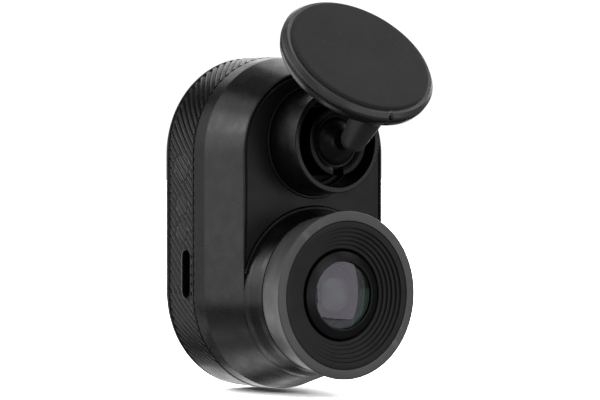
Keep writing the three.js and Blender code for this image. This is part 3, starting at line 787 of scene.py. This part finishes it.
def build_fascia_lips():
    """Raised rounded beads round the fascia's two openings. The one round the neck is open below, and
    its ends lie `spare` degrees above the middle of the neck, where the plate ends."""
    n = 160
    for name, z, r, spare in (
        ("tower", SOCKET_Z, R_TOWER_BASE + 0.02, 0), ("neck", LENS_Z, R_FRONT - 0.14, 14.5),
    ):
        profile = rounded([
            (r, Y_FRONT + 0.5), (r + 0.5, Y_FRONT + 0.5), (r + 0.44, Y_FRONT - LIP_PROUD, 0.14),
            (r + 0.02, Y_FRONT - LIP_PROUD, 0.1), (r, Y_FRONT + 0.4),
        ], 5)
        start, reach = math.radians(spare), math.radians(180 - 2 * spare) if spare else TAU
        verts = []
        for i in range(n + (1 if spare else 0)):
            a = start + reach * i / n
            verts += [(q * math.cos(a), y, z + q * math.sin(a)) for q, y in profile]
        rows = len(profile)
        faces = skin((len(verts) // rows, rows), not spare, True)
        if spare:
            faces += [tuple(range(rows)), tuple(n * rows + j for j in reversed(range(rows)))]
        lip = finish_mesh(f"front_fascia_{name}_lip", verts, faces, HOUSING, "fascia", sharp=50)
        stands_for(lip, "camera", "fascia", "front_fascia")


# ------------------------------------------------------------------ lens head
def add_lens(name, node, rim, front, back, mat):
    """Lens up to the radius rim. Front and back are each (y on the axis, how far the edge lies behind)."""
    radii = [rim * k / 14 for k in range(15)]
    profile = [(r, front[0] + front[1] * (r / rim) ** 2) for r in radii]
    profile += [(r, back[0] + back[1] * (r / rim) ** 2) for r in reversed(radii)]
    obj = swept(name, profile, circle_columns(96, 0, LENS_Z), HOUSING, mat, sharp=40, flats=False)
    stands_for(obj, "camera", "lens_glass", node)


def build_lens_head():
    """Ring, stepped baffle, retainer cone, floor of the well, lenses, barrel and stop."""
    lens = circle_columns(256, 0, LENS_Z)
    ring = rounded([
        (R_HEAD_IN, Y_NECK - 0.07), (R_NECK, Y_NECK - 0.07, 0.08), (R_NECK + 0.16, -22.9, 2.0),
        (12.48, -24.6, 2.0), (R_HEAD, Y_HEAD, 0.16), (R_HEAD_IN, Y_HEAD, 0.05), (R_HEAD_IN, Y_NECK - 0.3),
    ], 6)
    piece = swept("lens_head_ring_body", ring, lens, HOUSING, "ring", close=True)
    stands_for(piece, "camera", "lens_ring", "lens_head_ring")

    y = Y_HEAD + 0.06
    corners = [(R_HEAD_IN - 0.1, Y_HEAD + WELL_DEPTH), (R_HEAD_IN - 0.1, y, 0.03)]
    for r in (10.47, 9.85, 9.2, 8.57, 7.92):
        corners += [(r, y, 0.02), (r, y + 0.38, 0.02), (r - 0.14, y + 0.3, 0.02)]
        y += 0.3
    corners += [(R_WELL, y, 0.05), (R_WELL, Y_HEAD + WELL_DEPTH)]
    piece = swept("lens_baffle_steps", rounded(corners, 3), lens, HOUSING, "baffle", close=True)
    stands_for(piece, "camera", "baffle", "lens_baffle")

    cone = rounded([
        (6.2, Y_HEAD + 4.4), (6.76, Y_HEAD + 4.4), (6.76, Y_HEAD + 1.42, 0.05), (5.5, Y_HEAD + 0.94, 0.05),
        (5.32, Y_HEAD + 0.94, 0.04), (5.3, Y_HEAD + 1.24), (5.6, Y_HEAD + 1.4), (5.6, Y_HEAD + 3.4),
        (6.2, Y_HEAD + 3.4),
    ], 4)
    piece = swept("lens_retainer_cone", cone, lens, HOUSING, "cone", close=True)
    stands_for(piece, "camera", "baffle", "lens_retainer")

    # The floor of the well is coloured near black: painted shade in the gap between the baffle and the
    # retainer cone.
    floor = rounded([(11.3, Y_HEAD + 2.75), (6.7, Y_HEAD + 2.75), (6.7, Y_HEAD + 4.3), (11.3, Y_HEAD + 4.3)])
    piece = swept("lens_well_floor", floor, lens, HOUSING, "recess_shade", close=True)
    stands_for(piece, "camera", "baffle", "lens_baffle")

    first = (Y_HEAD + 0.35, 0.86), (Y_HEAD + 1.15, 0.7)
    second = (Y_HEAD + 1.8, 1.1), (Y_HEAD + 2.5, 0.9)
    third = (Y_HEAD + 2.8, 0.75), (Y_HEAD + 3.2, 0.6)
    middle = (-22.2, 1.1), (-20.9, 0.7)
    rear = (-17.4, 1.1), (-15.4, 0.0)
    add_lens("front_lens_glass", "front_lens", 5.45, *first, "front_glass")
    add_lens("front_lens_second_glass", "front_lens", 4.6, *second, "inner_glass")
    add_lens("front_lens_third_glass", "front_lens", 2.5, *third, "core_glass")
    add_lens("lens_element_middle_glass", "lens_element_middle", 4.4, *middle, "inner_glass")
    add_lens("lens_element_rear_glass", "lens_element_rear", 3.9, *rear, "inner_glass")

    barrel = [(4.65, Y_HEAD + 3.3), (5.5, Y_HEAD + 3.3), (5.5, Y_HEAD + 3.55), (6.15, Y_HEAD + 3.55),
              (6.15, -11.4), (3.2, -11.4), (3.2, -15.2), (4.0, -15.2)]
    y = -19.8
    r = 4.0
    barrel.append((r, y))
    for _ in range(5):
        barrel += [(r + 0.11, y), (r + 0.11, y - 0.35)]
        r += 0.11
        y -= 0.35
    piece = swept("lens_barrel_bore", barrel, lens, HOUSING, "baffle", close=True)
    stands_for(piece, "camera", "baffle", "lens_barrel")
    iris = rounded([(4.4, -19.9), (1.5, -19.75, 0.02), (1.5, -19.65, 0.02), (4.4, -19.5)])
    piece = swept("lens_barrel_stop", iris, lens, HOUSING, "cone", close=True)
    stands_for(piece, "camera", "baffle", "lens_barrel")


# ------------------------------------------------------------------ socket, collet and ball
def build_socket():
    """Retaining ring, the collet's flange and split sleeve, and the liner round the ball."""
    around = circle_columns(160, 0, SOCKET_Z)
    ring = rounded([
        (6.3, -17.85), (7.09, -17.85), (7.09, -18.9, 0.05), (6.3, -18.9, 0.2), (6.3, -17.9),
    ], 4)
    piece = swept("socket_ring_body", ring, around, HOUSING, "socket", close=True)
    stands_for(piece, "camera", "socket", "socket_ring")

    ball_y = (BALL.y - ORIGIN.y) / MM
    flange = rounded([
        (3.3, -16.85), (6.9, -16.85, 0.1), (6.9, -17.75, 0.15), (R_COLLET - 0.1, -17.75),
        (R_COLLET - 0.1, -18.5), (4.6, -18.5), (4.3, -17.9), (3.3, -17.7),
    ], 4)
    piece = swept("socket_collet_flange", flange, around, HOUSING, "socket", close=True)
    stands_for(piece, "collet", "socket", "socket_collet")

    inside = []
    for k in range(13):
        a = math.radians(59.5 + (150 - 59.5) * k / 12)
        inside.append((R_COLLET_IN * math.sin(a), ball_y - R_COLLET_IN * math.cos(a)))
    sleeve = rounded([
        (R_COLLET, -17.8), (R_COLLET, Y_COLLET, 0.2), (R_COLLET_IN, Y_COLLET, 0.06), (*inside[0], 0.05),
        inside[1],
    ], 5)[:-1] + inside[1:]
    half_slit = 1.0
    n = 150
    verts = []
    for i in range(n + 1):
        for r, y in sleeve:
            gap = math.asin(min(1.0, half_slit / r)) if y < -18.8 else 0.0
            a = -math.pi / 2 + gap + (TAU - 2 * gap) * i / n
            verts.append((r * math.cos(a), y, SOCKET_Z + r * math.sin(a)))
    rows = len(sleeve)
    faces = skin((n + 1, rows), False, True)
    faces.append(tuple(range(rows)))
    faces.append(tuple(n * rows + j for j in reversed(range(rows))))
    piece = finish_mesh("socket_collet_sleeve", verts, faces, HOUSING, "socket", sharp=45)
    stands_for(piece, "collet", "socket", "socket_collet")

    shell = []
    for radius, start, end in ((R_LINER_OUT, 61, 142), (R_LINER_IN, 142, 61)):
        for k in range(15):
            a = math.radians(start + (end - start) * k / 14)
            shell.append((radius * math.sin(a), ball_y - radius * math.cos(a)))
    piece = swept("ball_liner_cup", shell, around, HOUSING, "liner", close=True)
    stands_for(piece, "liner", "liner", "ball_liner")


def tube(path, radii, n=40):
    """Verts and faces of a capped tube through path points with their own radii (all in mm)."""
    verts, faces = [], []
    across = Vector((1, 0, 0))
    for i, point in enumerate(path):
        ahead = path[min(i + 1, len(path) - 1)] - path[max(i - 1, 0)]
        up = ahead.cross(across).normalized()
        side = up.cross(ahead).normalized()
        for k in range(n):
            a = TAU * k / n
            verts.append(point + side * (radii[i] * math.cos(a)) + up * (radii[i] * math.sin(a)))
    for i in range(len(path) - 1):
        for k in range(n):
            k2 = (k + 1) % n
            faces.append((i * n + k, i * n + k2, (i + 1) * n + k2, (i + 1) * n + k))
    faces.append(tuple(range(n - 1, -1, -1)))
    faces.append(tuple((len(path) - 1) * n + k for k in range(n)))
    return verts, faces


def round_end(centre, direction, radius, steps=10):
    """Path and radii of a half sphere that starts a capsule at centre."""
    path, radii = [], []
    for k in range(steps):
        a = math.pi / 2 * (1 - k / steps)
        path.append(centre - direction * (radius * math.sin(a)))
        radii.append(max(0.02, radius * math.cos(a)))
    return path, radii


def rim_notch(disc):
    """Small V-shaped cutter at the foot of the disc's rim."""
    verts = []
    for y in (-1.9, 0.2):
        verts += [(-1.1, y, R_DISC + 1), (1.1, y, R_DISC + 1), (0, y, R_DISC - 0.75)]
    faces = [(0, 1, 2), (5, 4, 3), (0, 3, 4, 1), (1, 4, 5, 2), (2, 5, 3, 0)]
    return finish_mesh("notch", verts, faces, disc, "recess_shade")


def build_arm():
    """A post square to the disc, with a rounded elbow and a flared foot, and a slimmer stem to the ball. The
    stem and the ball are coloured darker than the post, as painted shade.
    """
    inverse = HOUSING.inverted()
    ball = inverse @ BALL
    yaw = math.atan2(NORMAL.x, -NORMAL.y)
    forward = Vector((math.sin(yaw), -math.cos(yaw), 0))
    elbow = ball + forward * 7.1 + Vector((0, 0, 0.35))
    pad_face = inverse @ Vector((0, 0, 0))
    back = pad_face - NORMAL * (PAD_PROUD + DISC_THICK)
    length = (back - elbow).dot(NORMAL)

    path, radii = round_end(elbow, NORMAL, R_POST)
    for k in range(13):
        t = k / 12
        path.append(elbow + NORMAL * (length * t + 0.3 * (t == 1)))
        flare = 0.9 * max(0.0, (t - 0.75) / 0.25) ** 2
        radii.append(R_POST + 0.62 * t + flare)
    arm = finish_mesh("ball_arm_post", *tube(path, radii), HOUSING, "arm", sharp=0)
    path, radii = round_end(elbow, (ball - elbow).normalized(), R_STEM)
    path += [elbow.lerp(ball, t) for t in (0, 0.25, 0.45, 0.6)]
    radii += [R_STEM, 1.55, 1.6, 1.8]
    # The stem belongs to the arm but takes the near-black socket colour: painted shade, as it lies in the
    # socket's shadow.
    stem = finish_mesh("ball_arm_stem_painted_shade", *tube(path, radii), HOUSING, "socket", sharp=0)
    stands_for(stem, "mount", "arm", "ball_arm")
    fuse = arm.modifiers.new("fuse", "REMESH")
    fuse.mode = "VOXEL"
    fuse.voxel_size = 0.16 * MM
    fuse.use_smooth_shade = True
    soften = arm.modifiers.new("soften", "SMOOTH")
    soften.iterations = 6
    soften.factor = 0.5
    stands_for(arm, "mount", "arm", "ball_arm")

    half_turn = [math.pi * k / 40 for k in range(41)]
    sphere = [(R_BALL * math.sin(a), -R_BALL * math.cos(a)) for a in half_turn]
    at_ball = Matrix.Translation(BALL) @ Matrix.Scale(MM, 4)
    # The ball belongs to the arm but takes the button's near-black colour, darker than the post: painted
    # shade inside the socket.
    piece = swept("ball_arm_ball", sphere, circle_columns(96), at_ball, "button", flats=False)
    stands_for(piece, "mount", "arm", "ball_arm")


def build_disc():
    """Dish behind the arm's foot, mount plate and adhesive pad."""
    disc = DISC @ Matrix.Translation((0, DISC_SHIFT - PAD_PROUD, 0))
    around = circle_columns(256)
    dish = rounded([
        (0, -DISC_THICK + 0.35), (8.6, -DISC_THICK + 0.35, 0.3), (9.2, -DISC_THICK, 0.25),
        (R_DISC - 0.42, -DISC_THICK, 0.32), (R_DISC - 0.06, -1.7, 0.3), (R_DISC - 0.06, -1.26, 0.08),
        (0, -1.26),
    ], 5)
    piece = swept("ball_arm_dish", dish, around, disc, "shell")
    cut(piece, rim_notch(disc))
    stands_for(piece, "mount", "arm", "ball_arm")

    plate = rounded([
        (0, -1.14), (R_DISC, -1.14, 0.06), (R_DISC, -0.72, 0.12), (R_DISC - 0.52, -0.1, 0.1), (0, -0.1),
    ], 5)
    piece = swept("mount_plate_disc", plate, around, disc, "plate")
    cut(piece, rim_notch(disc))
    stands_for(piece, "mount", "arm", "mount_plate")
    pad = rounded([
        (0, -0.08), (R_PAD, -0.08), (R_PAD, 0.1, 0.08), (R_PAD - 0.22, PAD_PROUD - 0.02, 0.2),
        (R_PAD - 1.2, PAD_PROUD), (0, PAD_PROUD),
    ], 5)
    piece = swept("adhesive_pad_foam", pad, around, disc, "pad", flats=False)
    stands_for(piece, "mount", "adhesive", "adhesive_pad")


# ------------------------------------------------------------------ button, lights, port, card
def build_controls():
    cap = rounded([
        (0, -1.1), (1.2, -1.1), (1.2, -0.2), (5.2, -0.2, 0.08), (5.2, 0.45, 0.08), (R_BUTTON, 0.45),
        (R_BUTTON, Y_BACK + 0.22, 0.3), (R_BUTTON - 1.1, Y_BACK + 0.14, 2.5), (1.5, Y_BACK - 0.16, 4),
        (0, Y_BACK - 0.16),
    ], 6)
    piece = swept("button_cap_dish", cap, circle_columns(128, 0, BUTTON_Z), HOUSING, "button", flats=False)
    stands_for(piece, "button", "button", "button_cap")
    for i, x in enumerate((-PIPE_X, PIPE_X)):
        rod = rounded([(0, -2.0), (0.8, -2.0, 0.1), (0.8, Y_BACK - 0.05, 0.15), (0, Y_BACK)], 4)
        piece = swept(f"light_pipe_{i + 1}_rod", rod, circle_columns(40, x, PIPE_Z), HOUSING, "clear")
        stands_for(piece, "camera", "light_pipe", f"light_pipe_{i + 1}")


def rounded_tube(name, x0, x1, spec, half_y, half_z, corner, wall, mat):
    """Open-ended stamped tube along X with rounded corners."""
    def ring(inset):
        pts = []
        for k, (sy, sz) in enumerate(((1, 1), (-1, 1), (-1, -1), (1, -1))):
            for q in range(7):
                a = math.pi / 2 * k + math.pi / 2 * q / 6
                pts.append((spec["y"] + sy * (half_y - corner) + (corner - inset) * math.cos(a),
                            spec["z"] + sz * (half_z - corner) + (corner - inset) * math.sin(a)))
        return pts
    outer, inner = ring(0), ring(wall)
    n = len(outer)
    verts = []
    for pts, x in ((outer, x0), (outer, x1), (inner, x1), (inner, x0)):
        verts += [(x, py, pz) for py, pz in pts]
    faces = []
    for k in range(4):
        for i in range(n):
            i2 = (i + 1) % n
            k2 = (k + 1) % 4
            faces.append((k * n + i, k * n + i2, k2 * n + i2, k2 * n + i))
    return finish_mesh(name, verts, faces, HOUSING, mat, sharp=30)


def soft_block(name, low, high, mat, edge=0.12):
    """A moulded block with rounded edges."""
    x0, y0, z0 = low
    x1, y1, z1 = high
    verts = [(x, y, z) for x in (x0, x1) for y in (y0, y1) for z in (z0, z1)]
    faces = [(0, 1, 3, 2), (4, 6, 7, 5), (0, 4, 5, 1), (2, 3, 7, 6), (0, 2, 6, 4), (1, 5, 7, 3)]
    obj = finish_mesh(name, verts, faces, HOUSING, mat, sharp=30)
    bevel = obj.modifiers.new("edges", "BEVEL")
    bevel.width = edge * MM
    bevel.segments = 3
    bevel.harden_normals = True
    return obj


def build_port_and_card():
    shell = rounded_tube("power_port_shell", -14.3, -9.0, PORT, 1.25, 3.9, 0.6, 0.3, "dark_steel")
    stands_for(shell, "camera", "steel", "power_port")
    tongue = soft_block("power_port_tongue", (-13.5, PORT["y"] - 0.28, PORT["z"] - 2.6),
                        (-9.2, PORT["y"] + 0.28, PORT["z"] + 2.6), "chip", 0.1)
    stands_for(tongue, "camera", "steel", "power_port")
    # Near-black, dull block at the back of the port: painted shade deep in the opening.
    rear = soft_block("power_port_back", (-9.6, PORT["y"] - 1.0, PORT["z"] - 3.6),
                      (-9.1, PORT["y"] + 1.0, PORT["z"] + 3.6), "recess_shade", 0.1)
    stands_for(rear, "camera", "steel", "power_port")
    low, high = (HOUSING.inverted() @ Vector(v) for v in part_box("memory_card"))
    card = soft_block("memory_card_body", low, high, "chip", 0.12)
    stands_for(card, "card", "card", "memory_card")


# ------------------------------------------------------------------ CAD nodes that stay
def dress_cad_nodes():
    looks = {
        "lens_holder": "baffle", "ir_filter": "filter_glass", "image_sensor": "chip", "sensor_board": "board",
        "sensor_flex": "flex", "main_board": "board", "processor": "chip", "memory_chip": "chip",
        "thermal_pad": "filler", "heat_spreader": "aluminium", "supercapacitor": "sleeve",
        "antenna_strip": "steel", "card_socket": "steel", "tact_switch": "steel", "microphone": "steel",
        "status_led_1": "nylon", "status_led_2": "nylon", "switch_plunger": "nylon",
        "board_screw_1": "steel", "board_screw_2": "steel", "board_screw_3": "steel",
        "board_screw_4": "steel",
    }
    for node, look in looks.items():
        obj = frame["nodes"][node]
        if not obj.material_slots:
            obj.data.materials.append(MAT[look])
        for slot in obj.material_slots:
            slot.material = MAT[look]


add_camera()
add_world()
add_floor()
add_lights()
bpy.context.scene.view_settings.view_transform = "Standard"
build_ribbed_band()
build_back_cover()
build_front_shell()
build_fascia()
build_fascia_lips()
build_lens_head()
build_socket()
build_arm()
build_disc()
build_controls()
build_port_and_card()
dress_cad_nodes()
link_lamps()
